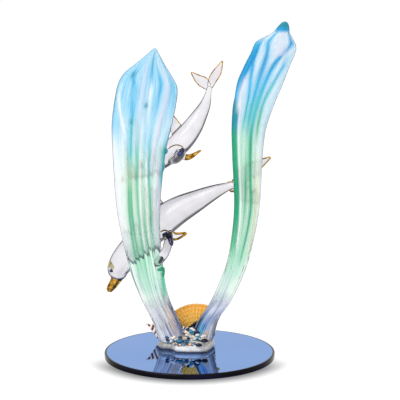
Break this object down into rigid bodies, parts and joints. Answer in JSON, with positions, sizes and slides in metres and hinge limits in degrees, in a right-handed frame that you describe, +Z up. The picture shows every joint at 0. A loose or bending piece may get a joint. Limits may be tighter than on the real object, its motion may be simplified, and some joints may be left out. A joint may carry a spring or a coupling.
{
  "type": "glass dolphin figurine",
  "caption": "Clear glass dolphins leaping between tall ribbed waves of blue and green glass, with shells and pebbles at their feet, on a round blue mirror base.",
  "frame": {"origin": "centre of the mirror base's underside", "axes": "+Z up, -Y towards the front that the picture shows, +X to that view's right"},
  "size_m": [0.1125, 0.1016, 0.1993],
  "materials": {
    "blue_mirror": "polished",
    "clear_glass": "polished",
    "pale_blue_and_green_glass": "polished",
    "deep_blue_and_green_glass": "polished",
    "amber_shell": "satin",
    "banded_shell": "satin",
    "navy_glass": "polished",
    "teal_glass": "polished"
  },
  "bodies": {
    "root": {"mirror_disc": "blue_mirror", "glass_pool": "clear_glass", "wave_left": "pale_blue_and_green_glass", "wave_right": "deep_blue_and_green_glass", "dolphin_large": "clear_glass", "dolphin_small": "clear_glass", "scallop_shell": "amber_shell", "spiral_shell_left": "banded_shell", "spiral_shell_right": "banded_shell", "pebble_navy_front": "navy_glass", "pebble_navy_right": "navy_glass", "pebble_navy_middle": "navy_glass", "pebble_teal_left": "teal_glass", "pebble_teal_right": "teal_glass", "pebble_blue_back": "teal_glass"}
  },
  "joints": []
}
